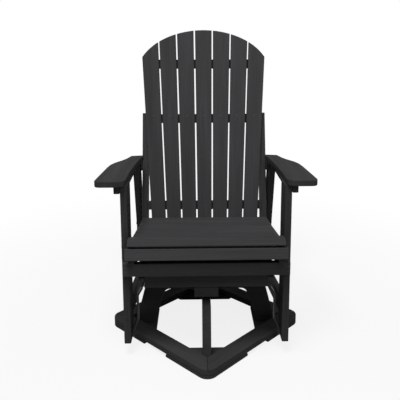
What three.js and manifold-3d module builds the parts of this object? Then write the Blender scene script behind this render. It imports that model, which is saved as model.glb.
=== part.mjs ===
// A fan-back garden chair of recycled plastic lumber that glides on four hanging links
// and swivels on a low square base. Millimetres, +Z up, the seat faces -Y.
import * as THREE from "three";
import { mergeVertices } from "three/addons/utils/BufferGeometryUtils.js";
import Module from "manifold-3d";

const wasm = await Module();
wasm.setup();

// Lumber
const boardThickness = 22.2; // seat, back, apron and arm boards
const sideThickness = 25.4; // posts and lower rails
const beamThickness = 38.1; // the turning frame's cross beams
const archThickness = 31.8; // the crossed arches of the base
const slimWidth = 63.5; // ripped board: base rails, seat slats, lower rails, cross beams
const postWidth = 88.9; // posts, uprights and seat side rails
const braceWidth = 38.1; // cross braces behind the back
const edgeRadius = 3; // eased edges of every board
const seam = 0.3; // joint line between boards that are screwed together
const runningGap = 0.5; // between faces that slide past each other
const weldTolerance = 1e-4; // corners closer than this are one corner

// Overall layout
const postSpan = 609.6; // across the outer faces of the posts
const postFront = 231.7; // from the swivel axis forward to the front posts
const postFoot = 52; // front posts end this high above the floor
const armHeight = 677; // top of the arms
const seatFrontHeight = 470.6; // top plane of the seat at its front edge
const seatFrontReach = 278; // from the swivel axis forward to that edge
const seatTilt = THREE.MathUtils.degToRad(8.5); // the seat drops towards the back
const backFoot = 138.6; // from the swivel axis back to the slats' front at backFootHeight
const backFootDrop = 50.6; // from the seat's front edge down to where the back is measured
const backRecline = THREE.MathUtils.degToRad(15.4);

// Base
const baseNarrowing = 53.6; // the square floor frame's side is this much less than postSpan
const baseCornerRadius = 40;
const baseRailThickness = 25.4;
const footPlateThickness = 12.7;
const footPlateLength = 194.65; // from a foot plate's inner edge to the frame's sharp corner
const footPlateClip = 216; // length of the frame's side that a foot plate covers
const archTopDrop = 271.8; // from the seat's front edge down to the top of the arches
const archTopSetback = 41.4; // the arches' upper corners inside the side frames
const archFootWidth = 76;
const archOpeningTopHalf = 165;
const archCrown = 38.5; // depth of wood left above the opening
const archCornerRadius = 22;

// Swivel bearing
const raceRadius = 114.3;
const raceBore = 55;
const racePlate = 5;
const raceTrackRadius = 92;
const raceTrackHalf = 9;
const raceTrackHeight = 5;

// Turning frame and hanging links
const beamSetback = 50.4; // from a side frame's inner face to a beam's end
const upperPivotRise = 30; // front bolts above the underside of the beams
const rearPivotLift = 20; // the rear links hang this much higher than the front ones
const lowerPivotRise = 18.3; // front studs above the feet of the posts
const linkBarThickness = 6.4;
const linkBarHalfWidth = 11;
const linkEndRadius = 15.9;
const linkUpperLand = 36; // the bar runs straight this far below its upper pivot
const linkUpperJog = 30; // and steps outwards over this height
const linkLowerLand = 18.5; // straight part above the lower pivot
const linkLowerJog = 36.5;
const linkHubLength = 6.5;
const linkHubRadius = 14;
const linkShoulderRadius = 10;
const linkShoulderLength = 2;
const boltRadius = 4.75;
const boltEmbedment = 45;
const boltHeadRadius = 9.5;
const boltHeadHeight = 6.4;
const washerRadius = 12.5;
const washerThickness = 1.6;
const studRadius = 6;
const studSetback = 2; // the stud ends this far inside the outer face of its board
const pivotClearance = 0.35; // radial, in every bore that a link turns on

// Side frames
const postToeCut = 26; // chamfer at the heel of a front post
const rearPostLean = Math.atan(0.299); // the rear posts run backwards towards the floor
const rearPostHead = 150.5; // from the swivel axis back to a rear post's head
const rearPostHeadLand = 64; // flat head under the arm
const lowerRailFallShare = 0.17; // fall of the lower side rails per length
const lowerRailHeight = 162.5; // centre line of a lower rail where it meets the front post
const bracketDrop = 29;
const spacerThickness = 8.8; // between an upright and its rear post
const spacerHeight = 46;
const spacerLength = 40;
const spacerSink = 10; // below the arm

// Seat
const seatSlatGap = 3.2;
const seatSlatCount = 5;
const seatSlatSetback = 14; // the slats behind the first end this far inside it
const seatChamfer = 18; // planed off the front edge of the first slat
const rearSlatWidth = 76.2;
const rearSlatTilt = THREE.MathUtils.degToRad(4);
const fasciaWidth = 41.3;
const fasciaDrop = 30; // from the seat's front edge down to the top of the fascia
const fasciaLead = 3; // the fascia's top edge stands this far before the seat's
const fasciaTilt = THREE.MathUtils.degToRad(74);
const fasciaSetback = 16.8; // its ends from the posts' outer faces
const apronHeight = 50;
const apronSetback = 3.5; // its ends from the posts' outer faces
const apronDrop = 96.1; // from the seat's front edge down to the top of the apron
const stiffenerSetback = 80; // from the seat's front edge to the board under the slats
const stiffenerSideGap = 38.4; // its ends from the side frames
const sideRailTail = 318; // from the swivel axis back to the end of a seat side rail

// Back
const backSlatCount = 7;
const backSlatGap = 6;
const backFanInset = 20.5; // the fan's foot inside the uprights, at backFootHeight
const backFanSpreadShare = 0.0629; // growth of that half width per length of slat
const crestHeight = 817; // along the slats, from backFootHeight to the top of the crest
const crestSpread = 69; // half width of the ellipse that cuts the crest, beyond the fan's foot
const crestRise = 204; // its half height
const backSlatTail = 30; // the slats run this far below backFootHeight
const lowerBraceRise = 25.5;
const uprightTop = 448;
const middleBraceDrop = 42.5; // below the tops of the uprights
const upperBraceDrop = 166; // below the top of the crest
const upperBraceInset = 12;

// Arms
const armFront = 256;
const armRear = 181;
const armInnerFrontStep = 4.6; // outside a side frame's inner face
const armOuterFrontReach = 87.2; // outside its outer face
const armInnerRearLap = 19.4; // inside it
const armOuterRearReach = 7.2;
const armFrontRadius = 24;
const armInnerRadius = 36;
const armShoulderShare = 0.5;
const armTaperShares = [0.3, 0.02, 0.08, 0.5];

const arcSegments = 6;
const roundSegments = 24;
const overrun = 2; // cutters reach this far past the faces they cut

const lumber = () => new THREE.MeshStandardMaterial({ color: 0x2d2d2f, roughness: 0.72, metalness: 0 });
const paintedSteel = () => new THREE.MeshStandardMaterial({ color: 0x17171a, roughness: 0.45, metalness: 0.7 });
const zincSteel = () => new THREE.MeshStandardMaterial({ color: 0x8b8d90, roughness: 0.35, metalness: 0.9 });

const product = new THREE.Group();

function place(group, name, geometry, material, x = 0, y = 0, z = 0) {
  const mesh = new THREE.Mesh(geometry, material);
  mesh.name = name;
  mesh.position.set(x, y, z);
  group.add(mesh);
  return mesh;
}

function polygon(points) {
  return new THREE.Shape(points.map(([u, v]) => new THREE.Vector2(u, v)));
}

// An outline swept through its thickness, with eased edges, lying from 0 to thickness along its normal.
function board(shape, thickness, curveSegments = arcSegments, ease = edgeRadius) {
  const geometry = new THREE.ExtrudeGeometry(shape, {
    depth: thickness - 2 * ease,
    bevelThickness: ease,
    bevelSize: ease,
    bevelOffset: -ease,
    bevelSegments: 2,
    curveSegments,
  });
  return geometry.translate(0, 0, ease);
}

// Turns a board so that its outline lies in the YZ plane and its thickness runs along +X.
function onSide(geometry) {
  const basis = new THREE.Matrix4().makeBasis(
    new THREE.Vector3(0, 1, 0),
    new THREE.Vector3(0, 0, 1),
    new THREE.Vector3(1, 0, 0),
  );
  return geometry.applyMatrix4(basis);
}

// Turns a board so that its outline lies in the XZ plane and its thickness runs along +Y.
function facing(geometry, thickness) {
  return geometry.rotateX(Math.PI / 2).translate(0, thickness, 0);
}

function rectangle(u0, v0, u1, v1) {
  return polygon([
    [u0, v0],
    [u1, v0],
    [u1, v1],
    [u0, v1],
  ]);
}

function solid(geometry) {
  const bare = geometry.clone();
  bare.deleteAttribute("normal");
  bare.deleteAttribute("uv");
  const merged = mergeVertices(bare, weldTolerance);
  return new wasm.Manifold(
    new wasm.Mesh({
      numProp: 3,
      vertProperties: merged.attributes.position.array,
      triVerts: new Uint32Array(merged.index.array),
    }),
  );
}

function geometryOf(manifold) {
  const { vertProperties, triVerts } = manifold.getMesh();
  const indexed = new THREE.BufferGeometry();
  indexed.setAttribute("position", new THREE.BufferAttribute(vertProperties, 3));
  indexed.setIndex(new THREE.BufferAttribute(triVerts, 1));
  const flat = indexed.toNonIndexed();
  flat.computeVertexNormals();
  return flat;
}

const cut = (geometry, ...tools) =>
  geometryOf(tools.reduce((body, tool) => body.subtract(solid(tool)), solid(geometry)));

const join = (geometry, ...others) =>
  geometryOf(others.reduce((body, other) => body.add(solid(other)), solid(geometry)));

const common = (geometry, other) => geometryOf(solid(geometry).intersect(solid(other)));

// A round bar along X from x0 to x1.
function barAlongX(radius, x0, x1, y, z, segments = roundSegments) {
  const geometry = new THREE.CylinderGeometry(radius, radius, x1 - x0, segments);
  return geometry.rotateZ(Math.PI / 2).translate((x0 + x1) / 2, y, z);
}

function box(x0, x1, y0, y1, z0, z1) {
  const geometry = new THREE.BoxGeometry(x1 - x0, y1 - y0, z1 - z0);
  return geometry.translate((x0 + x1) / 2, (y0 + y1) / 2, (z0 + z1) / 2);
}

// A line in a side view, through (y, z) with a direction.
const line = (y, z, dy, dz) => ({ y, z, dy, dz });

function shifted(from, distance) {
  const length = Math.hypot(from.dy, from.dz);
  return line(from.y - (from.dz / length) * distance, from.z + (from.dy / length) * distance, from.dy, from.dz);
}

function meet(a, b) {
  const across = a.dy * b.dz - a.dz * b.dy;
  const along = ((b.y - a.y) * b.dz - (b.z - a.z) * b.dy) / across;
  return [a.y + a.dy * along, a.z + a.dz * along];
}

// The corners of a path of straight pieces, moved sideways by a distance.
function offsetPath(points, distance) {
  const lines = points.slice(1).map(([u, v], index) => {
    const [u0, v0] = points[index];
    return shifted(line(u0, v0, u - u0, v - v0), distance);
  });
  const first = lines[0];
  const last = lines[lines.length - 1];
  const corners = lines.slice(1).map((next, index) => meet(lines[index], next));
  return [[first.y, first.z], ...corners, [last.y + last.dy, last.z + last.dz]];
}

const level = (z) => line(0, z, 1, 0);
const plumb = (y) => line(y, 0, 0, 1);

const sides = [
  ["left", -1],
  ["right", 1],
];

// Places a side board whose inner face is at a distance from the middle plane.
function placePair(group, name, geometry, material, innerFace, thickness) {
  for (const [word, side] of sides) {
    const x = side > 0 ? innerFace : -innerFace - thickness;
    place(group, `${name}_${word}`, geometry.clone(), material(), x);
  }
}

// Widths that follow the side frames
const postInner = postSpan / 2 - sideThickness;
const beamHalfLength = postInner - beamSetback;
const uprightOuter = postInner - seam - spacerThickness - seam;
const uprightInner = uprightOuter - boardThickness;
const backFootHalf = uprightInner - backFanInset;
const crestHalfWidth = backFootHalf + crestSpread;
const armInnerFront = postInner + armInnerFrontStep;
const armOuterFront = postSpan / 2 + armOuterFrontReach;
const armInnerRear = postInner - armInnerRearLap;
const armOuterRear = postSpan / 2 + armOuterRearReach;
const baseSide = postSpan - baseNarrowing;
const footPlateReach = baseSide / Math.SQRT2 - footPlateLength;
const archTopHalf = postInner - archTopSetback;

// Heights that stack up from the floor, and those that follow the seat
const archFoot = footPlateThickness + seam;
const archTop = seatFrontHeight - archTopDrop;
const archHeight = archTop - archFoot;
const backFootHeight = seatFrontHeight - backFootDrop;
const lowerRaceFoot = archTop + seam;
const upperRaceTop = lowerRaceFoot + 2 * (racePlate + raceTrackHeight) + runningGap;
const spineFoot = upperRaceTop + seam;
const beamFoot = spineFoot + beamThickness + seam;
const postBack = postFront - postWidth;
const pivotReach = postFront - postWidth / 2;
const armFoot = armHeight - boardThickness;
const apronTop = seatFrontHeight - apronDrop;
const linkLength = upperPivotHeight(0) - postFoot - lowerPivotRise;

addBase(product);
addTurningFrame(product);
addLinks(product);
addSideFrames(product);
addSeat(product);
addBack(product);
addArms(product);

// The origin lies on the floor under the middle of the chair's bounding box.
product.updateMatrixWorld(true);
const bounds = new THREE.Box3().setFromObject(product, true);
for (const part of product.children) {
  part.position.y -= (bounds.min.y + bounds.max.y) / 2;
}

export default product;

// The square floor frame stands on a corner foot under each mitre and carries two arches, halved together.
function addBase(group) {
  const half = baseSide / 2;
  const inner = half - slimWidth;
  const mitre = seam / Math.SQRT2;
  const rail = new THREE.Shape();
  const centre = half - baseCornerRadius;
  rail.moveTo(inner - mitre, -inner);
  rail.lineTo(-inner + mitre, -inner);
  rail.absarc(-centre + mitre, -centre, baseCornerRadius, 1.25 * Math.PI, 1.5 * Math.PI, false);
  rail.absarc(centre - mitre, -centre, baseCornerRadius, 1.5 * Math.PI, 1.75 * Math.PI, false);
  ["front_right", "rear_right", "rear_left", "front_left"].forEach((word, index) => {
    const geometry = board(rail, baseRailThickness, arcSegments / 2);
    const mesh = place(group, `base_rail_${word}`, geometry, lumber(), 0, 0, footPlateThickness + seam);
    mesh.rotation.z = Math.PI / 4 + (index * Math.PI) / 2;
  });

  const tip = half * Math.SQRT2;
  const clipHalf = footPlateClip * Math.SQRT1_2;
  const clipBack = tip - clipHalf;
  const clipRun = clipBack - footPlateReach;
  const roundCentre = tip - baseCornerRadius * Math.SQRT2;
  const foot = new THREE.Shape();
  foot.moveTo(clipHalf - clipRun, -footPlateReach);
  foot.lineTo(-clipHalf + clipRun, -footPlateReach);
  foot.lineTo(-clipHalf, -clipBack);
  foot.absarc(0, -roundCentre, baseCornerRadius, 1.25 * Math.PI, 1.75 * Math.PI, false);
  foot.lineTo(clipHalf, -clipBack);
  ["front", "right", "rear", "left"].forEach((word, index) => {
    const mesh = place(group, `foot_plate_${word}`, board(foot, footPlateThickness), lumber());
    mesh.rotation.z = (index * Math.PI) / 2;
  });

  const archFootHalf = inner * Math.SQRT2 - archThickness / 2 - 2 * seam;
  const openingFootHalf = archFootHalf - archFootWidth;
  const crown = archTop - archCrown;
  const arch = new THREE.Shape();
  const slope = (openingFootHalf - archOpeningTopHalf) / (crown - archFoot);
  arch.moveTo(-archFootHalf, archFoot);
  arch.lineTo(-openingFootHalf, archFoot);
  arch.lineTo(-archOpeningTopHalf - slope * archCornerRadius, crown - archCornerRadius);
  arch.quadraticCurveTo(-archOpeningTopHalf, crown, -archOpeningTopHalf + archCornerRadius, crown);
  arch.lineTo(archOpeningTopHalf - archCornerRadius, crown);
  arch.quadraticCurveTo(archOpeningTopHalf, crown, archOpeningTopHalf + slope * archCornerRadius, crown - archCornerRadius);
  arch.lineTo(openingFootHalf, archFoot);
  arch.lineTo(archFootHalf, archFoot);
  arch.lineTo(archTopHalf, archTop);
  arch.lineTo(-archTopHalf, archTop);
  const blank = board(arch, archThickness).translate(0, 0, -archThickness / 2);
  const notchHalf = archThickness / 2 + seam;
  const lap = archTop - archCrown / 2;
  const upperNotch = box(-notchHalf, notchHalf, -notchHalf, notchHalf, lap - seam / 2, archTop + overrun);
  const lowerNotch = box(-notchHalf, notchHalf, -notchHalf, notchHalf, crown - overrun, lap + seam / 2);
  place(group, "base_arch_fore_and_aft", cut(onSide(blank.clone()), upperNotch), lumber());
  place(group, "base_arch_crosswise", cut(facing(blank.clone(), 0), lowerNotch), lumber());

  place(group, "bearing_lower_race", race(1), zincSteel(), 0, 0, lowerRaceFoot);
}

// A pressed ring with a raised ball track, opening upwards or downwards.
function race(direction) {
  const profile = [
    [raceBore, 0],
    [raceRadius, 0],
    [raceRadius, racePlate],
    [raceTrackRadius + raceTrackHalf, racePlate],
    [raceTrackRadius + raceTrackHalf / 2, racePlate + raceTrackHeight],
    [raceTrackRadius - raceTrackHalf / 2, racePlate + raceTrackHeight],
    [raceTrackRadius - raceTrackHalf, racePlate],
    [raceBore, racePlate],
    [raceBore, 0],
  ];
  const points = profile.map(([radius, height]) => new THREE.Vector2(radius, direction * height));
  const ordered = direction > 0 ? points : points.reverse();
  return new THREE.LatheGeometry(ordered, 2 * roundSegments).rotateX(Math.PI / 2);
}

// Two cross beams on a spine that turns on the bearing, with a bolt in each beam end.
function addTurningFrame(group) {
  place(group, "bearing_upper_race", race(-1), zincSteel(), 0, 0, upperRaceTop);

  const reach = pivotReach + beamThickness / 2;
  const spine = board(rectangle(-postWidth / 2, -reach, postWidth / 2, reach), beamThickness);
  place(group, "turning_spine", spine, lumber(), 0, 0, spineFoot);

  const blank = facing(
    board(rectangle(-beamHalfLength, 0, beamHalfLength, slimWidth), beamThickness),
    beamThickness,
  ).translate(0, -beamThickness / 2, 0);
  const holeDepth = boltEmbedment + runningGap;
  for (const [word, y, lift] of linkPlaces()) {
    const holes = sides.map(([, side]) => {
      const from = side * (beamHalfLength - holeDepth);
      const to = side * (beamHalfLength + overrun);
      return barAlongX(boltRadius + seam, Math.min(from, to), Math.max(from, to), 0, upperPivotRise + lift);
    });
    place(group, `turning_beam_${word}`, cut(blank, ...holes), lumber(), 0, y, beamFoot);
  }

  const between = pivotReach - beamThickness / 2 - seam;
  const rail = onSide(board(rectangle(-between, 0, between, slimWidth), boardThickness)).translate(0, 0, beamFoot);
  placePair(group, "turning_rail", rail, lumber, beamHalfLength - boardThickness, boardThickness);
}

// Where the links hang: before and behind the swivel axis, and how much higher than the front ones.
function linkPlaces() {
  return [
    ["front", -pivotReach, 0],
    ["rear", pivotReach, rearPivotLift],
  ];
}

function upperPivotHeight(lift) {
  return beamFoot + upperPivotRise + lift;
}

function lowerPivotHeight(lift) {
  return upperPivotHeight(lift) - linkLength;
}

// Each link turns on a bolt in a beam end and carries the chair on a stud at its lower end.
// Its bar steps outwards twice on the way down, from the beam's end to the side frame.
function addLinks(group) {
  const hubInner = beamHalfLength + runningGap;
  const upperFace = hubInner + linkHubLength;
  const lowerFace = postInner - runningGap - linkShoulderLength - linkBarThickness;
  const middleFace = (upperFace + lowerFace) / 2;
  const lowerTop = -linkLength + linkLowerLand;
  const spine = [
    [upperFace, linkEndRadius],
    [upperFace, -linkUpperLand],
    [middleFace, -linkUpperLand - linkUpperJog],
    [middleFace, lowerTop + linkLowerJog],
    [lowerFace, lowerTop],
    [lowerFace, -linkLength - linkEndRadius],
  ].map(([x, z]) => [x + linkBarThickness / 2, z]);
  const profile = polygon([
    ...offsetPath(spine, linkBarThickness / 2),
    ...offsetPath(spine, -linkBarThickness / 2).reverse(),
  ]);
  const strip = new THREE.ExtrudeGeometry(profile, { depth: 2 * linkEndRadius, bevelEnabled: false });
  strip.translate(0, 0, -linkEndRadius).rotateX(Math.PI / 2);

  const stadium = new THREE.Shape();
  stadium.absarc(0, 0, linkEndRadius, 0, Math.PI, false);
  stadium.lineTo(-linkBarHalfWidth, -linkEndRadius);
  stadium.lineTo(-linkBarHalfWidth, -linkLength + linkEndRadius);
  stadium.absarc(0, -linkLength, linkEndRadius, Math.PI, 2 * Math.PI, false);
  stadium.lineTo(linkBarHalfWidth, -linkLength + linkEndRadius);
  stadium.lineTo(linkBarHalfWidth, -linkEndRadius);
  const depth = lowerFace + linkBarThickness - upperFace + 2 * overrun;
  const outline = new THREE.ExtrudeGeometry(stadium, { depth, bevelEnabled: false, curveSegments: 2 * arcSegments });
  const bar = common(strip, onSide(outline).translate(upperFace - overrun, 0, 0));

  const hub = barAlongX(linkHubRadius, hubInner, upperFace + seam, 0, 0);
  const lowerInside = lowerFace + linkBarThickness - seam;
  const shoulder = barAlongX(linkShoulderRadius, lowerInside, postInner - runningGap, 0, -linkLength);
  const stud = barAlongX(studRadius, lowerInside, postInner + sideThickness - studSetback, 0, -linkLength);
  const hubOuter = upperFace + linkBarThickness;
  const bore = barAlongX(boltRadius + pivotClearance, hubInner - overrun, hubOuter + overrun, 0, 0);
  const link = cut(join(bar, hub, shoulder, stud), bore);

  const washerInner = hubOuter + runningGap;
  const headInner = washerInner + washerThickness;
  const shank = barAlongX(boltRadius, beamHalfLength - boltEmbedment, headInner + seam, 0, 0);
  const washer = barAlongX(washerRadius, washerInner, headInner, 0, 0);
  const head = barAlongX(boltHeadRadius, headInner - seam, headInner + boltHeadHeight, 0, 0, 6);
  const bolt = join(shank, washer, head);

  for (const [end, y, lift] of linkPlaces()) {
    for (const [word, side] of sides) {
      const turn = side > 0 ? 0 : Math.PI;
      const meshes = [
        place(group, `hanger_link_${end}_${word}`, link.clone(), paintedSteel(), 0, y, upperPivotHeight(lift)),
        place(group, `hanger_bolt_${end}_${word}`, bolt.clone(), paintedSteel(), 0, y, upperPivotHeight(lift)),
      ];
      meshes.forEach((mesh) => (mesh.rotation.z = turn));
    }
  }
}

function rearPostFrontEdge() {
  return line(rearPostHead, armFoot, Math.sin(rearPostLean), -Math.cos(rearPostLean));
}

// Front post, lower rail and raked rear post lie in one plane; the links' studs turn in the first two.
function addSideFrames(group) {
  const frontPost = polygon([
    [-postFront, postFoot],
    [-postBack - postToeCut, postFoot],
    [-postBack, postFoot + postToeCut],
    [-postBack, armFoot - seam],
    [-postFront, armFoot - seam],
  ]);
  const [frontBore, rearBore] = linkPlaces().map(([, y, lift]) =>
    barAlongX(studRadius + pivotClearance, -overrun, sideThickness + overrun, y, lowerPivotHeight(lift)),
  );
  const post = cut(onSide(board(frontPost, sideThickness)), frontBore);
  placePair(group, "front_post", post, lumber, postInner, sideThickness);

  const frontEdge = rearPostFrontEdge();
  const backEdge = shifted(frontEdge, postWidth);
  const head = level(armFoot - seam);
  const headBack = rearPostHead + rearPostHeadLand;
  const rearPost = polygon([
    meet(frontEdge, level(postFoot)),
    meet(backEdge, level(postFoot)),
    meet(backEdge, line(headBack, armFoot - seam, 1, -1)),
    [headBack, armFoot - seam],
    meet(frontEdge, head),
  ]);
  placePair(group, "rear_post", onSide(board(rearPost, sideThickness)), lumber, postInner, sideThickness);

  const centreLine = line(-postBack, lowerRailHeight, 1, -lowerRailFallShare);
  const topEdge = shifted(centreLine, slimWidth / 2);
  const bottomEdge = shifted(centreLine, -slimWidth / 2);
  const frontEnd = plumb(-postBack + seam);
  const rearEnd = shifted(frontEdge, -seam);
  const lowerRail = polygon([
    meet(bottomEdge, frontEnd),
    meet(bottomEdge, rearEnd),
    meet(topEdge, rearEnd),
    meet(topEdge, frontEnd),
  ]);
  const rail = cut(onSide(board(lowerRail, sideThickness)), rearBore);
  placePair(group, "lower_side_rail", rail, lumber, postInner, sideThickness);
}

function seatLine() {
  return line(-seatFrontReach, seatFrontHeight, Math.cos(seatTilt), -Math.sin(seatTilt));
}

// Outer face of the narrow board below the front of the seat, from its top edge down.
function fasciaLine() {
  const top = [-seatFrontReach - fasciaLead, seatFrontHeight - fasciaDrop];
  return line(...top, -Math.cos(fasciaTilt), -Math.sin(fasciaTilt));
}

// Slats across two side rails, the first with a chamfered front, and a fascia above the apron.
function addSeat(group) {
  const seat = new THREE.Group();
  seat.position.set(0, -seatFrontReach, seatFrontHeight);
  seat.rotation.x = -seatTilt;
  const firstHalf = postInner - seam;
  const profile = polygon([
    [0, -boardThickness],
    [slimWidth, -boardThickness],
    [slimWidth, -edgeRadius],
    [slimWidth - edgeRadius, 0],
    [seatChamfer, 0],
    [0, -seatChamfer],
  ]);
  const first = onSide(board(profile, 2 * firstHalf, 1, edgeRadius / 3)).translate(-firstHalf, 0, 0);
  place(seat, "seat_slat_1", first, lumber());
  const slatHalf = firstHalf - seatSlatSetback;
  for (let index = 1; index < seatSlatCount; index += 1) {
    const front = index * (slimWidth + seatSlatGap);
    const slat = board(rectangle(-slatHalf, front, slatHalf, front + slimWidth), boardThickness);
    place(seat, `seat_slat_${index + 1}`, slat, lumber(), 0, 0, -boardThickness);
  }
  const stiffenerHalf = postInner - stiffenerSideGap;
  const across = rectangle(-stiffenerHalf, -postWidth, stiffenerHalf, 0);
  const stiffener = facing(board(across, boardThickness), boardThickness);
  place(seat, "seat_stiffener", stiffener, lumber(), 0, stiffenerSetback, -boardThickness - seam);
  const rear = new THREE.Group();
  rear.position.set(0, seatSlatCount * (slimWidth + seatSlatGap), 0);
  rear.rotation.x = seatTilt - rearSlatTilt;
  const rearSlat = board(rectangle(-slatHalf, 0, slatHalf, rearSlatWidth), boardThickness);
  place(rear, "seat_slat_rear", rearSlat, lumber(), 0, 0, -boardThickness);
  seat.add(rear);
  group.add(seat);

  const face = fasciaLine();
  const holder = new THREE.Group();
  holder.position.set(0, face.y, face.z);
  holder.rotation.x = fasciaTilt;
  const fasciaHalf = postSpan / 2 - fasciaSetback;
  const fascia = board(rectangle(-fasciaHalf, -fasciaWidth, fasciaHalf, 0), boardThickness);
  place(holder, "seat_fascia", fascia, lumber(), 0, 0, -boardThickness);
  group.add(holder);

  const apronHalf = postSpan / 2 - apronSetback;
  const apron = facing(board(rectangle(-apronHalf, 0, apronHalf, apronHeight), boardThickness), boardThickness);
  const apronFront = -postFront - seam - boardThickness;
  place(group, "front_apron", apron, lumber(), 0, apronFront, apronTop - apronHeight);

  const under = boardThickness + seam;
  const topEdge = shifted(seatLine(), -under);
  const noseFront = shifted(face, under);
  const bottomEdge = shifted(seatLine(), -under - postWidth);
  const noseFoot = level(apronTop + seam);
  const apronBack = plumb(-postFront + seam);
  const tail = plumb(sideRailTail);
  const sideRail = polygon([
    meet(bottomEdge, apronBack),
    meet(bottomEdge, tail),
    meet(topEdge, tail),
    meet(topEdge, noseFront),
    meet(noseFront, noseFoot),
    meet(noseFoot, apronBack),
  ]);
  const railGeometry = onSide(board(sideRail, boardThickness));
  placePair(group, "seat_side_rail", railGeometry, lumber, postInner - seam - boardThickness, boardThickness);
}

// Seven tapered slats fan out over three braces between two reclined uprights.
function addBack(group) {
  const back = new THREE.Group();
  back.position.set(0, backFoot, backFootHeight);
  back.rotation.x = -backRecline;
  const fanHalf = (rise) => backFootHalf + backFanSpreadShare * rise;
  const crestAt = (x) => crestHeight - crestRise + crestRise * Math.sqrt(1 - (x / crestHalfWidth) ** 2);
  for (let index = 0; index < backSlatCount; index += 1) {
    const edgeAt = (which, rise) => {
      const pitch = (2 * fanHalf(rise) + backSlatGap) / backSlatCount;
      return -fanHalf(rise) + (index + which) * pitch - which * backSlatGap;
    };
    const tops = [0, 1].map((which) => {
      let rise = crestHeight;
      for (let step = 0; step < 12; step += 1) {
        rise = crestAt(edgeAt(which, rise));
      }
      return rise;
    });
    const outline = [
      [edgeAt(0, -backSlatTail), -backSlatTail],
      [edgeAt(1, -backSlatTail), -backSlatTail],
    ];
    const right = edgeAt(1, tops[1]);
    const left = edgeAt(0, tops[0]);
    for (let step = 0; step <= arcSegments; step += 1) {
      const x = THREE.MathUtils.lerp(right, left, step / arcSegments);
      outline.push([x, crestAt(x)]);
    }
    const slat = facing(board(polygon(outline), boardThickness), boardThickness);
    place(back, `back_slat_${index + 1}`, slat, lumber());
  }

  const middleBraceRise = uprightTop - middleBraceDrop;
  const upperBraceRise = crestHeight - upperBraceDrop;
  const braces = [
    ["lower", lowerBraceRise, uprightInner - seam],
    ["middle", middleBraceRise, uprightInner - seam],
    ["upper", upperBraceRise, fanHalf(upperBraceRise) - upperBraceInset],
  ];
  for (const [word, rise, half] of braces) {
    const brace = facing(board(rectangle(-half, rise, half, rise + braceWidth), boardThickness), boardThickness);
    place(back, `back_brace_${word}`, brace, lumber(), 0, boardThickness + seam, 0);
  }
  group.add(back);

  const slatLine = line(backFoot, backFootHeight, Math.sin(backRecline), Math.cos(backRecline));
  const frontEdge = shifted(slatLine, -boardThickness - seam);
  const rearEdge = shifted(frontEdge, -postWidth);
  const topEnd = line(
    backFoot + uprightTop * Math.sin(backRecline),
    backFootHeight + uprightTop * Math.cos(backRecline),
    Math.cos(backRecline),
    -Math.sin(backRecline),
  );
  const rest = shifted(seatLine(), -boardThickness);
  const upright = polygon([
    meet(frontEdge, rest),
    meet(rearEdge, rest),
    meet(rearEdge, topEnd),
    meet(frontEdge, topEnd),
  ]);
  placePair(group, "back_upright", onSide(board(upright, boardThickness)), lumber, uprightInner, boardThickness);

  const spacerInner = uprightOuter + seam;
  const spacerTop = armFoot - spacerSink;
  const [spacerFront] = meet(frontEdge, level(spacerTop));
  const outline = rectangle(spacerFront, spacerTop - spacerHeight, spacerFront + spacerLength, spacerTop);
  placePair(group, "arm_spacer", onSide(board(outline, spacerThickness)), lumber, spacerInner, spacerThickness);
}

// Paddle-shaped arms, each on its posts and on a bracket outside the front post.
function addArms(group) {
  for (const [word, side] of sides) {
    const length = armFront + armRear;
    const shoulder = armRear - armShoulderShare * length;
    const [rearPull, rearShift, frontPull, frontShift] = armTaperShares;
    const width = armOuterFront - armOuterRear;
    const shape = new THREE.Shape();
    shape.moveTo(side * (armInnerFront + armInnerRadius), -armFront);
    shape.lineTo(side * (armOuterFront - armFrontRadius), -armFront);
    shape.quadraticCurveTo(side * armOuterFront, -armFront, side * armOuterFront, -armFront + armFrontRadius);
    shape.lineTo(side * (armOuterFront - frontShift * armFrontRadius), shoulder);
    shape.bezierCurveTo(
      side * (armOuterFront - frontPull * width - frontShift * armFrontRadius),
      shoulder + frontShift * (armRear - shoulder),
      side * (armOuterRear + rearPull * width),
      armRear - rearPull * length,
      side * armOuterRear,
      armRear - rearShift * length,
    );
    shape.lineTo(side * armInnerRear, armRear);
    shape.quadraticCurveTo(side * armInnerFront, 0, side * armInnerFront, -armFront + armInnerRadius);
    shape.quadraticCurveTo(side * armInnerFront, -armFront, side * (armInnerFront + armInnerRadius), -armFront);
    place(group, `arm_${word}`, board(shape, boardThickness), lumber(), 0, 0, armFoot);
  }
  const bracketTop = armFoot - seam;
  const outline = rectangle(-postFront, bracketTop - bracketDrop, -postBack, bracketTop);
  const bracket = onSide(board(outline, boardThickness));
  placePair(group, "arm_bracket", bracket, lumber, postSpan / 2 + seam, boardThickness);
}
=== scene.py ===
import math

import bpy
from mathutils import Matrix, Vector


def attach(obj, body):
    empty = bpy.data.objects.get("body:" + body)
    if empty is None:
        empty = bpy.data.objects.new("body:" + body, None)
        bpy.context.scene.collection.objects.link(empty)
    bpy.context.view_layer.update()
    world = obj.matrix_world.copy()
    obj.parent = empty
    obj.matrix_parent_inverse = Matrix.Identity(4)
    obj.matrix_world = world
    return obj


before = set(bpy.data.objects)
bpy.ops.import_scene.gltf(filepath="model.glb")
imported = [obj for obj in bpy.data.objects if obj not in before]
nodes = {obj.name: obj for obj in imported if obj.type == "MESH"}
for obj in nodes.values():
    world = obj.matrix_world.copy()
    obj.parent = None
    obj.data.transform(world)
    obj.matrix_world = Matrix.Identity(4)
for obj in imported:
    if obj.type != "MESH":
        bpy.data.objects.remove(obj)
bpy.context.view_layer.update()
print("frame loaded:", len(nodes), "nodes")


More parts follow.
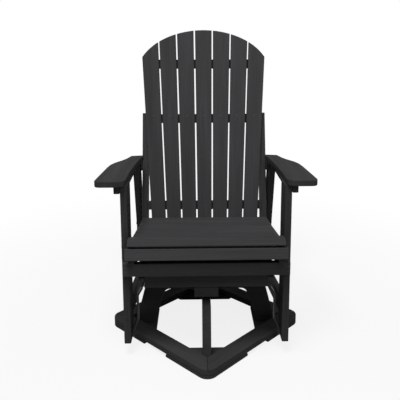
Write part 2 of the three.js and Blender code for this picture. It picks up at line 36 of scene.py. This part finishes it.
def linearColour(hexValue):
    channels = [int(hexValue[i:i + 2], 16) / 255 for i in (1, 3, 5)]
    linear = [c / 12.92 if c <= 0.04045 else ((c + 0.055) / 1.055) ** 2.4 for c in channels]
    return (*linear, 1.0)


def addNode(tree, kind, settings=None, inputs=None, links=None):
    # settings are node properties, inputs are socket values, links are (socket, source node, source socket)
    node = tree.nodes.new(kind)
    for name, value in (settings or {}).items():
        setattr(node, name, value)
    for name, value in (inputs or {}).items():
        node.inputs[name].default_value = value
    for name, source, output in links or []:
        tree.links.new(source.outputs[output], node.inputs[name])
    return node


def newMaterial(name):
    material = bpy.data.materials.new(name)
    material.use_nodes = True
    tree = material.node_tree
    tree.nodes.clear()
    output = tree.nodes.new("ShaderNodeOutputMaterial")
    return material, tree, output


def useMaterial(item, material):
    item.data.materials.clear()
    item.data.materials.append(material)


# The camera comes first, then the boards' finishes, the fasteners and the light.

camera = {
    "place": (-0.03538, -2.03375, 1.14304),   # metres, in the part's frame
    "turn": 0.020784,        # radians that the lens looks to the right of +Y
    "tip": 0.171233,        # radians below level
    "roll": -0.002366,
    "focalPixels": 521.49,
    "centre": (206.64, 134.841),   # where the lens axis meets the 400 x 400 picture
    "picture": 400,
}


def addCamera(c):
    data = bpy.data.cameras.new("camera")
    data.sensor_width = 36
    data.lens = c["focalPixels"] * data.sensor_width / c["picture"]
    half = c["picture"] / 2
    data.shift_x = (half - c["centre"][0]) / c["picture"]
    data.shift_y = (c["centre"][1] - half) / c["picture"]
    data.clip_start = 0.05
    data.clip_end = 60
    item = bpy.data.objects.new("camera", data)
    bpy.context.scene.collection.objects.link(item)
    look = Matrix.Rotation(-c["turn"], 4, "Z") @ Matrix.Rotation(math.pi / 2 - c["tip"], 4, "X")
    item.matrix_world = Matrix.Translation(c["place"]) @ look @ Matrix.Rotation(c["roll"], 4, "Z")
    bpy.context.scene.camera = item
    return item


addCamera(camera)
print("camera placed")

# Recycled polyethylene lumber: extruded, then wire-brushed along its length. It looks like
# a matte charcoal board with fine embossed streaks, a few pale flecks and soft blotches.
lumber = {
    "dark": "#2e2e2f",
    "base": "#343435",
    "light": "#3a3a3c",
    "fleck": "#4c4c4e",
    "streakLength": 0.16,      # metres along the board, per streak
    "streakWidth": 0.0021,     # a real streak is about 0.5 mm, too fine to show here
    "blotchLength": 0.55,
    "blotchWidth": 0.045,
    "fleckSize": 0.0016,
    "roughLow": 0.52,
    "roughHigh": 0.70,
    "specular": 0.003,         # very low: with more, the white surroundings made the arm tops too pale
    "embossDepth": 0.0002,
    "embossStrength": 0.55,
    "blotchShare": 0.38,       # of the tone, the rest is streaks
    "darkAt": 0.34,            # places on the tone's ramp
    "baseAt": 0.5,
    "lightAt": 0.66,
    "fleckFrom": 0.70,         # only the noise's peaks become flecks
    "fleckTo": 0.78,
    "fleckStrength": 0.55,
}


# multiplies a colour by a painted light level: below 1 it paints shade, above 1 it paints light
def shaded(hexValue, paintedLightLevel):
    r, g, b, a = linearColour(hexValue)
    return (r * paintedLightLevel, g * paintedLightLevel, b * paintedLightLevel, a)


def makeLumber(name, turn, paintedLightLevel=1.0):
    # turn is the Euler rotation that carries the pattern's X axis onto the board's grain
    v = lumber
    material, tree, output = newMaterial(name)
    place = addNode(tree, "ShaderNodeTexCoord")
    spaces = {}
    for word, size in (
        ("streak", (v["streakLength"], v["streakWidth"], v["streakWidth"])),
        ("blotch", (v["blotchLength"], v["blotchWidth"], v["blotchWidth"])),
        ("fleck", (v["fleckSize"] * 3, v["fleckSize"], v["fleckSize"])),
    ):
        spaces[word] = addNode(
            tree, "ShaderNodeMapping", {"vector_type": "TEXTURE"}, {"Rotation": turn, "Scale": size},
            [("Vector", place, "Object")])
    streak = addNode(
        tree, "ShaderNodeTexNoise", None,
        {"Scale": 1.0, "Detail": 4.0, "Roughness": 0.62, "Distortion": 0.25},
        [("Vector", spaces["streak"], "Vector")])
    blotch = addNode(
        tree, "ShaderNodeTexNoise", None, {"Scale": 1.0, "Detail": 2.0, "Roughness": 0.5},
        [("Vector", spaces["blotch"], "Vector")])
    fleck = addNode(
        tree, "ShaderNodeTexNoise", None, {"Scale": 1.0, "Detail": 1.0},
        [("Vector", spaces["fleck"], "Vector")])

    mixed = addNode(
        tree, "ShaderNodeMix", {"data_type": "FLOAT"}, {"Factor": v["blotchShare"]},
        [("A", streak, "Fac"), ("B", blotch, "Fac")])
    tone = addNode(tree, "ShaderNodeValToRGB", None, None, [("Fac", mixed, "Result")])
    stops = tone.color_ramp.elements
    # the tone's stops and the fleck colour carry the board's painted light level: painted shade below 1, painted
    # light above 1
    stops[0].position, stops[0].color = v["darkAt"], shaded(v["dark"], paintedLightLevel)
    stops[1].position, stops[1].color = v["lightAt"], shaded(v["light"], paintedLightLevel)
    middle = stops.new(v["baseAt"])
    middle.color = shaded(v["base"], paintedLightLevel)
    fleckMask = addNode(
        tree, "ShaderNodeMapRange", None,
        {"From Min": v["fleckFrom"], "From Max": v["fleckTo"], "To Min": 0.0, "To Max": v["fleckStrength"]},
        [("Value", fleck, "Fac")])
    colour = addNode(
        tree, "ShaderNodeMix", {"data_type": "RGBA"}, None, [(0, fleckMask, "Result"), (6, tone, "Color")])
    colour.inputs[7].default_value = shaded(v["fleck"], paintedLightLevel)

    rough = addNode(
        tree, "ShaderNodeMapRange", None,
        {"From Min": 0.3, "From Max": 0.7, "To Min": v["roughHigh"], "To Max": v["roughLow"]},
        [("Value", mixed, "Result")])
    emboss = addNode(
        tree, "ShaderNodeBump", None, {"Strength": v["embossStrength"], "Distance": v["embossDepth"]},
        [("Height", streak, "Fac")])
    shader = addNode(
        tree, "ShaderNodeBsdfPrincipled", None,
        {"IOR": 1.5, "Metallic": 0.0, "Specular IOR Level": v["specular"]},
        [("Roughness", rough, "Result"), ("Normal", emboss, "Normal")])
    tree.links.new(colour.outputs[2], shader.inputs["Base Color"])
    tree.links.new(shader.outputs["BSDF"], output.inputs["Surface"])
    return material


quarter = math.pi / 2
seatTilt = math.radians(8.5)
backLean = math.radians(15.4)
rearPostLean = math.atan(0.299)
lowerRailFall = math.atan(0.17)

# Each family of boards: the run of its grain as a turn of the pattern, its painted light level, and the nodes'
# first words. The levels paint light and shade into the boards' colour: below 1 is painted shade, above 1 is
# painted light. They were set against the photograph's greys, and stay near 1 so that the boards still match
# each other in other light.
alongY = (0, 0, quarter)
grains = {
    "seat": ((0, 0, 0), 1.0, ["seat_slat", "back_brace", "base_arch_crosswise"]),
    "fascia": ((0, 0, 0), 1.12, ["seat_fascia", "front_apron", "seat_stiffener"]),
    "beam": ((0, 0, 0), 0.85, ["turning_beam"]),
    "frontPost": ((0, -quarter, 0), 0.88, ["front_post"]),
    "arm": (alongY, 0.88, ["arm_left", "arm_right"]),
    "block": (alongY, 0.85, ["arm_spacer", "arm_bracket"]),
    "turningFrame": (alongY, 0.85, ["turning_spine", "turning_rail"]),
    "archForeAndAft": (alongY, 0.92, ["base_arch_fore"]),
    "seatRail": ((0, seatTilt, quarter), 1.0, ["seat_side_rail"]),
    "lowerRail": ((0, lowerRailFall, quarter), 1.0, ["lower_side_rail"]),
    "rearPost": ((0, quarter - rearPostLean, quarter), 1.0, ["rear_post"]),
    "backUpright": ((0, backLean - quarter, quarter), 1.0, ["back_upright"]),
    "diagonalRight": (
        (0, 0, math.pi / 4), 0.88,
        ["base_rail_front_right", "base_rail_rear_left", "foot_plate_front", "foot_plate_rear"]),
    "diagonalLeft": (
        (0, 0, -math.pi / 4), 0.95,
        ["base_rail_rear_right", "base_rail_front_left", "foot_plate_left", "foot_plate_right"]),
}

finished = set()
for family, (turn, paintedLightLevel, starts) in grains.items():
    material = makeLumber("brushedPolyLumber_" + family, turn, paintedLightLevel)
    for name, item in nodes.items():
        if any(name.startswith(start) for start in starts):
            useMaterial(item, material)
            finished.add(name)

# Painted light: each back slat's colour is a step paler than the one to its left, because the photograph shows
# the back slats a little paler towards the right
fan = {"count": 7, "footHalf": 0.2273, "spread": 0.0629, "paintedLightStep": 0.018}
for index in range(fan["count"]):
    share = (2 * index + 1) / fan["count"] - 1
    turn = (0, backLean - quarter, quarter - math.atan(share * fan["spread"]))
    name = f"back_slat_{index + 1}"
    paintedLightLevel = 1 + index * fan["paintedLightStep"]
    useMaterial(nodes[name], makeLumber(f"brushedPolyLumber_slat{index + 1}", turn, paintedLightLevel))
    finished.add(name)
print("boards finished:", len(finished))

# Powder-coated flat steel: satin black with a shallow orange peel.
powderCoat = {
    "colour": "#1b1b1d", "roughness": 0.46, "rubbed": 0.06, "dulled": 0.12, "rubScale": 30.0,
    "peelSize": 0.0016, "peelDepth": 0.00006,
}


def makePowderCoat(name):
    v = powderCoat
    material, tree, output = newMaterial(name)
    place = addNode(tree, "ShaderNodeTexCoord")
    space = addNode(
        tree, "ShaderNodeMapping", {"vector_type": "TEXTURE"}, {"Scale": (v["peelSize"],) * 3},
        [("Vector", place, "Object")])
    peel = addNode(
        tree, "ShaderNodeTexNoise", None, {"Scale": 1.0, "Detail": 1.5}, [("Vector", space, "Vector")])
    rub = addNode(
        tree, "ShaderNodeTexNoise", None, {"Scale": v["rubScale"], "Detail": 3.0}, [("Vector", place, "Object")])
    rough = addNode(
        tree, "ShaderNodeMapRange", None,
        {"From Min": 0.35, "From Max": 0.65,
         "To Min": v["roughness"] - v["rubbed"], "To Max": v["roughness"] + v["dulled"]},
        [("Value", rub, "Fac")])
    bump = addNode(
        tree, "ShaderNodeBump", None, {"Strength": 0.5, "Distance": v["peelDepth"]},
        [("Height", peel, "Fac")])
    shader = addNode(
        tree, "ShaderNodeBsdfPrincipled", None,
        {"Base Color": linearColour(v["colour"]), "IOR": 1.5, "Specular IOR Level": 0.2},
        [("Roughness", rough, "Result"), ("Normal", bump, "Normal")])
    tree.links.new(shader.outputs["BSDF"], output.inputs["Surface"])
    return material


# Pressed steel races, zinc-plated and then black-passivated: a dull dark grey metal with
# faint cloudy patches where the passivation took unevenly.
blackZinc = {"dark": "#141516", "light": "#242527", "roughness": 0.55, "cloudSize": 0.006}


def makeBlackZinc(name):
    v = blackZinc
    material, tree, output = newMaterial(name)
    place = addNode(tree, "ShaderNodeTexCoord")
    space = addNode(
        tree, "ShaderNodeMapping", {"vector_type": "TEXTURE"}, {"Scale": (v["cloudSize"],) * 3},
        [("Vector", place, "Object")])
    cloud = addNode(
        tree, "ShaderNodeTexNoise", None, {"Scale": 1.0, "Detail": 5.0}, [("Vector", space, "Vector")])
    tone = addNode(tree, "ShaderNodeValToRGB", None, None, [("Fac", cloud, "Fac")])
    ends = tone.color_ramp.elements
    ends[0].position, ends[0].color = 0.3, linearColour(v["dark"])
    ends[1].position, ends[1].color = 0.7, linearColour(v["light"])
    rough = addNode(
        tree, "ShaderNodeMapRange", None,
        {"From Min": 0.3, "From Max": 0.7, "To Min": v["roughness"] + 0.1, "To Max": v["roughness"] - 0.05},
        [("Value", cloud, "Fac")])
    shader = addNode(
        tree, "ShaderNodeBsdfPrincipled", None, {"Metallic": 1.0},
        [("Base Color", tone, "Color"), ("Roughness", rough, "Result")])
    tree.links.new(shader.outputs["BSDF"], output.inputs["Surface"])
    return material


coatedSteel = makePowderCoat("powderCoatedSteel")
racesSteel = makeBlackZinc("blackPassivatedZinc")
for name, item in nodes.items():
    if name.startswith(("hanger_link", "hanger_bolt")):
        useMaterial(item, coatedSteel)
        finished.add(name)
    elif name.startswith("bearing"):
        useMaterial(item, racesSteel)
        finished.add(name)
print("without a finish:", sorted(set(nodes) - finished))

# Each kind of fastener is modelled once at the origin, looking up, and copied to its places.

screwHead = {
    "radius": 0.0042, "rise": 0.0012, "ease": 0.0004, "sides": 20,
    "recess": 0.0017, "recessDepth": 0.0009,
}
lagBolt = {
    "radius": 0.0070, "rise": 0.0046, "ease": 0.0005, "sides": 6,
    "washerRadius": 0.0095, "washerRise": 0.0014, "washerSides": 28,
}


def editOnly(item):
    bpy.ops.object.select_all(action="DESELECT")
    item.select_set(True)
    bpy.context.view_layer.objects.active = item
    bpy.ops.object.mode_set(mode="EDIT")


closeEnough = 1e-5   # metres
smoothBelow = math.radians(35)


def pick(item, mode, wanted):
    # selects only the faces or edges of item whose test says yes
    bpy.ops.mesh.select_mode(type=mode)
    bpy.ops.mesh.select_all(action="DESELECT")
    bpy.ops.object.mode_set(mode="OBJECT")
    mesh = item.data
    parts = mesh.polygons if mode == "FACE" else mesh.edges
    for part in parts:
        part.select = bool(wanted(mesh, part))
    bpy.ops.object.mode_set(mode="EDIT")


def edgeAtHeight(height):
    return lambda mesh, edge: all(abs(mesh.vertices[i].co.z - height) < closeEnough for i in edge.vertices)


def faceAtHeight(height):
    return lambda mesh, face: abs(face.center.z - height) < closeEnough and face.normal.z > 0.9


def makeScrewHead(name, v):
    bpy.ops.object.select_all(action="DESELECT")
    bpy.ops.mesh.primitive_cylinder_add(
        vertices=v["sides"], radius=v["radius"], depth=v["rise"], location=(0, 0, v["rise"] / 2))
    item = bpy.context.object
    item.name = name
    bpy.ops.object.transform_apply(location=True, rotation=True, scale=True)
    editOnly(item)
    pick(item, "EDGE", edgeAtHeight(v["rise"]))
    bpy.ops.mesh.bevel(offset=v["ease"], segments=2, affect="EDGES")
    pick(item, "FACE", faceAtHeight(v["rise"]))
    bpy.ops.mesh.inset(thickness=v["radius"] - v["ease"] - v["recess"])
    bpy.ops.mesh.extrude_region_move(TRANSFORM_OT_translate={"value": (0, 0, -v["recessDepth"])})
    bpy.ops.object.mode_set(mode="OBJECT")
    bpy.ops.object.shade_smooth_by_angle(angle=smoothBelow)
    return item


def makeLagBolt(name, v):
    bpy.ops.object.select_all(action="DESELECT")
    bpy.ops.mesh.primitive_cylinder_add(
        vertices=v["washerSides"], radius=v["washerRadius"], depth=v["washerRise"],
        location=(0, 0, v["washerRise"] / 2))
    washer = bpy.context.object
    bpy.ops.object.transform_apply(location=True, rotation=True, scale=True)
    editOnly(washer)
    pick(washer, "EDGE", edgeAtHeight(v["washerRise"]))
    bpy.ops.mesh.bevel(offset=v["ease"], segments=1, affect="EDGES")
    bpy.ops.object.mode_set(mode="OBJECT")
    bpy.ops.object.select_all(action="DESELECT")
    bpy.ops.mesh.primitive_cylinder_add(
        vertices=v["sides"], radius=v["radius"], depth=v["rise"],
        location=(0, 0, v["washerRise"] + v["rise"] / 2))
    head = bpy.context.object
    bpy.ops.object.transform_apply(location=True, rotation=True, scale=True)
    editOnly(head)
    top = v["washerRise"] + v["rise"]
    pick(head, "EDGE", edgeAtHeight(top))
    bpy.ops.mesh.bevel(offset=v["ease"], segments=2, affect="EDGES")
    bpy.ops.object.mode_set(mode="OBJECT")
    bpy.ops.object.select_all(action="DESELECT")
    washer.select_set(True)
    head.select_set(True)
    bpy.context.view_layer.objects.active = washer
    bpy.ops.object.join()
    washer.name = name
    bpy.ops.object.shade_smooth_by_angle(angle=smoothBelow)
    return washer


def putCopies(source, family, spots, body, material):
    # spots are (point on the board's face, direction that the head looks)
    for number, (point, facing) in enumerate(spots, start=1):
        piece = source.copy()
        piece.data = source.data.copy()
        piece.name = f"{family}_{number}"
        bpy.context.scene.collection.objects.link(piece)
        turn = Vector(facing).to_track_quat("Z", "Y").to_matrix().to_4x4()
        piece.data.transform(Matrix.Translation(point) @ turn)
        useMaterial(piece, material)
        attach(piece, body)


axisY = -0.0234716   # the swivel axis
seatFront = (axisY - 0.278, 0.4706)
backOrigin = (axisY + 0.1386, 0.42)
sidePlane = 0.2921   # middle of the posts' thickness
postOuter = 0.3048
rearPost = {"head": 0.1505, "top": 0.6548, "depth": 0.0889}


def onSeat(x, along):
    # a point on the slats' top plane, that far back from the front edge
    return (x, seatFront[0] + along * math.cos(seatTilt), seatFront[1] - along * math.sin(seatTilt))


def onBack(share, rise, behind=0.0):
    # a point on the fan: share of its half width, rise along the slats, depth behind their fronts
    x = share * (fan["footHalf"] + fan["spread"] * rise)
    y = backOrigin[0] + rise * math.sin(backLean) + behind * math.cos(backLean)
    z = backOrigin[1] + rise * math.cos(backLean) - behind * math.sin(backLean)
    return (x, y, z)


def onRearPost(side, along):
    # a point on the rear edge of a rear post, that far down from its head
    v = rearPost
    y = axisY + v["head"] + along * math.sin(rearPostLean) + v["depth"] * math.cos(rearPostLean)
    z = v["top"] - along * math.cos(rearPostLean) + v["depth"] * math.sin(rearPostLean)
    return (side * sidePlane, y, z)


both = (-1, 1)
seatUp = (0, math.sin(seatTilt), math.cos(seatTilt))
backForward = (0, -math.cos(backLean), math.sin(backLean))
backRearward = (0, math.cos(backLean), -math.sin(backLean))
rearPostBack = (0, math.cos(rearPostLean), math.sin(rearPostLean))
fanShares = [(2 * index + 1) / fan["count"] - 1 for index in range(fan["count"])]

# Metres. Each y is from the swivel axis, and each z from the floor.
places = {
    "backRise": 0.431,                # the row that shows from the front
    "braceRises": (0.0446, 0.6701),   # the rows behind, through the braces
    "braceBack": 0.0447,              # from the slats' fronts to the braces' backs
    "seatX": 0.2585,
    "slatPitch": 0.0667,
    "seatRows": 5,
    "frontRow": (0.030, 0.050),       # the first slat's front is planed, so its screws sit further back
    "otherRows": (0.016, 0.048),
    "bracketX": 0.3273,
    "bracketY": (-0.212, -0.163),
    "bracketZ": 0.640,
    "apronX": 0.2926,
    "apronY": -0.2542,
    "apronZ": (0.341, 0.358),
    "postY": -0.2317,
    "postZ": (0.178, 0.149),
    "rearPostAlong": (0.600, 0.630),
    "seatBoltY": -0.187,
    "seatBoltZ": (0.372, 0.414),
    "rearBolts": ((0.286, 0.338), (0.298, 0.300)),
}


def alongsOf(row):
    return places["frontRow"] if row == 0 else places["otherRows"]


screwSpots = {
    "back_screw": [(onBack(share, places["backRise"]), backForward) for share in fanShares],
    "brace_screw": [
        (onBack(share, rise, places["braceBack"]), backRearward)
        for rise in places["braceRises"] for share in fanShares],
    "seat_screw": [
        (onSeat(side * places["seatX"], row * places["slatPitch"] + along), seatUp)
        for row in range(places["seatRows"]) for along in alongsOf(row) for side in both],
    "bracket_screw": [
        ((side * places["bracketX"], axisY + y, places["bracketZ"]), (side, 0, 0))
        for side in both for y in places["bracketY"]],
    "apron_screw": [
        ((side * places["apronX"], axisY + places["apronY"], z), (0, -1, 0))
        for side in both for z in places["apronZ"]],
}
blackScrewSpots = {
    "post_screw": [
        ((side * sidePlane, axisY + places["postY"], z), (0, -1, 0))
        for side in both for z in places["postZ"]],
    "rear_post_screw": [
        (onRearPost(side, along), rearPostBack) for side in both for along in places["rearPostAlong"]],
}
boltSpots = {
    "seat_rail_bolt": [
        ((side * postOuter, axisY + places["seatBoltY"], z), (side, 0, 0))
        for side in both for z in places["seatBoltZ"]],
    "rear_rail_bolt": [
        ((side * postOuter, axisY + y, z), (side, 0, 0)) for side in both for y, z in places["rearBolts"]],
}

# Baked enamel on steel, matched to the boards: a dull charcoal, hardly paler than the lumber around it.
enamel = {"dark": "#3c3c3f", "light": "#424245", "roughness": 0.62, "mottleSize": 0.0012}


def makeEnamel(name):
    v = enamel
    material, tree, output = newMaterial(name)
    place = addNode(tree, "ShaderNodeTexCoord")
    space = addNode(
        tree, "ShaderNodeMapping", {"vector_type": "TEXTURE"}, {"Scale": (v["mottleSize"],) * 3},
        [("Vector", place, "Object")])
    mottle = addNode(
        tree, "ShaderNodeTexNoise", None, {"Scale": 1.0, "Detail": 2.0}, [("Vector", space, "Vector")])
    tone = addNode(tree, "ShaderNodeValToRGB", None, None, [("Fac", mottle, "Fac")])
    ends = tone.color_ramp.elements
    ends[0].position, ends[0].color = 0.35, linearColour(v["dark"])
    ends[1].position, ends[1].color = 0.65, linearColour(v["light"])
    shader = addNode(
        tree, "ShaderNodeBsdfPrincipled", None,
        {"Roughness": v["roughness"], "IOR": 1.5, "Specular IOR Level": 0.05}, [("Base Color", tone, "Color")])
    tree.links.new(shader.outputs["BSDF"], output.inputs["Surface"])
    return material


enamelled = makeEnamel("bakedEnamelSteel")
screw = makeScrewHead("screwPattern", screwHead)
bolt = makeLagBolt("boltPattern", lagBolt)
for family, spots in screwSpots.items():
    putCopies(screw, family, spots, "chair", enamelled)
for family, spots in blackScrewSpots.items():
    putCopies(screw, family, spots, "chair", coatedSteel)
for family, spots in boltSpots.items():
    putCopies(bolt, family, spots, "chair", coatedSteel)
for pattern in (screw, bolt):
    bpy.data.objects.remove(pattern)
print("fasteners placed")

# A thin strip of lumber under each arm, from the front post to the rear one: the photograph shows
# the arm's inner face thicker than its front edge, and a strip is the guess. Its lower edges are eased.
armStrip = {
    "width": 0.0248, "height": 0.0127, "ease": 0.0018,
    "front": -0.1426, "rear": 0.1485, "top": 0.6547,
}


def makeArmStrip(name, v):
    bpy.ops.object.select_all(action="DESELECT")
    bpy.ops.mesh.primitive_cube_add(
        size=1, location=(0, 0, -v["height"] / 2), scale=(v["width"], v["rear"] - v["front"], v["height"]))
    item = bpy.context.object
    item.name = name
    bpy.ops.object.transform_apply(location=True, rotation=True, scale=True)
    editOnly(item)
    pick(item, "EDGE", edgeAtHeight(-v["height"]))
    bpy.ops.mesh.bevel(offset=v["ease"], segments=2, affect="EDGES")
    bpy.ops.object.mode_set(mode="OBJECT")
    bpy.ops.object.shade_smooth_by_angle(angle=smoothBelow)
    return item


strip = makeArmStrip("stripPattern", armStrip)
stripMiddle = axisY + (armStrip["front"] + armStrip["rear"]) / 2
stripSpots = [((side * sidePlane, stripMiddle, armStrip["top"]), (0, 0, 1)) for side in both]
putCopies(strip, "arm_strip", stripSpots, "chair", bpy.data.materials["brushedPolyLumber_block"])
bpy.data.objects.remove(strip)
print("arm strips placed")

# A pale paper sweep and soft light from above.
floorLook = {
    "colour": "#c0c0bf",
    "size": 60,
    "glowNear": 0.84,    # how far the floor is lifted to white under the chair, where its shadow falls
    "fadeFrom": 0.7,     # metres from the chair's middle
    "fadeTo": 2.2,
}


def whenSeen(tree):
    # 1 for the camera's, the mirrors' and the glasses' rays, 0 for the light that falls on the object
    path = addNode(tree, "ShaderNodeLightPath")
    first = addNode(
        tree, "ShaderNodeMath", {"operation": "MAXIMUM"}, None,
        [(0, path, "Is Camera Ray"), (1, path, "Is Glossy Ray")])
    return addNode(
        tree, "ShaderNodeMath", {"operation": "MAXIMUM"}, None,
        [(0, first, "Value"), (1, path, "Is Transmission Ray")])


def addFloor(v):
    bpy.ops.object.select_all(action="DESELECT")
    bpy.ops.mesh.primitive_plane_add(size=v["size"], location=(0, 0, 0))
    floor = bpy.context.object
    floor.name = "floor"
    material, tree, output = newMaterial("palePaperSweep")
    place = addNode(tree, "ShaderNodeTexCoord")
    reach = addNode(tree, "ShaderNodeVectorMath", {"operation": "LENGTH"}, None, [(0, place, "Object")])
    lift = addNode(
        tree, "ShaderNodeMapRange", {"interpolation_type": "SMOOTHSTEP"},
        {"From Min": v["fadeFrom"], "From Max": v["fadeTo"], "To Min": v["glowNear"], "To Max": 1.0},
        [("Value", reach, "Value")])
    share = addNode(
        tree, "ShaderNodeMath", {"operation": "MULTIPLY"}, None,
        [(0, whenSeen(tree), "Value"), (1, lift, "Result")])
    matte = addNode(tree, "ShaderNodeBsdfDiffuse", None, {"Color": linearColour(v["colour"])})
    glow = addNode(tree, "ShaderNodeEmission", None, {"Color": linearColour("#ffffff"), "Strength": 1.0})
    surface = addNode(
        tree, "ShaderNodeMixShader", None, None,
        [(0, share, "Value"), (1, matte, "BSDF"), (2, glow, "Emission")])
    tree.links.new(surface.outputs["Shader"], output.inputs["Surface"])
    useMaterial(floor, material)
    return floor


addFloor(floorLook)

# The key hangs above and in front; the others only lift the shaded sides. The rear ones stand well
# to the sides, because from straight behind they shone through the slits onto the seat.
studio = {
    "key": {"place": (-0.6, -1.6, 4.7), "size": 1.6, "power": 228},
    "front": {"place": (0.9, -3.1, 3.3), "size": 2.0, "power": 46},
    "left": {"place": (-3.0, 0.6, 1.4), "size": 2.4, "power": 16},
    "right": {"place": (3.0, 0.4, 1.4), "size": 2.4, "power": 20},
    "rearLeft": {"place": (-2.4, 2.6, 0.7), "size": 1.2, "power": 42},
    "rearRight": {"place": (2.4, 2.6, 0.7), "size": 1.2, "power": 42},
}
lampTarget = (0, 0, 0.55)
worldLevel = 0.1


def addLight(name, v, target):
    data = bpy.data.lights.new(name, "AREA")
    data.shape = "DISK"
    data.size = v["size"]
    data.energy = v["power"]
    lamp = bpy.data.objects.new(name, data)
    bpy.context.scene.collection.objects.link(lamp)
    lamp.location = v["place"]
    lamp.rotation_euler = (Vector(target) - Vector(v["place"])).to_track_quat("-Z", "Y").to_euler()
    return lamp


for name, lampSettings in studio.items():
    addLight(name + "Softbox", lampSettings, lampTarget)


def addWorld(strength):
    world = bpy.data.worlds.new("paleStudio")
    bpy.context.scene.world = world
    world.use_nodes = True
    tree = world.node_tree
    tree.nodes.clear()
    output = tree.nodes.new("ShaderNodeOutputWorld")
    level = addNode(
        tree, "ShaderNodeMapRange", None, {"To Min": strength, "To Max": 1.0},
        [("Value", whenSeen(tree), "Value")])
    light = addNode(
        tree, "ShaderNodeBackground", None, {"Color": linearColour("#ffffff")}, [("Strength", level, "Result")])
    tree.links.new(light.outputs["Background"], output.inputs["Surface"])


addWorld(worldLevel)
bpy.context.scene.view_settings.view_transform = "Standard"
print("studio lit")
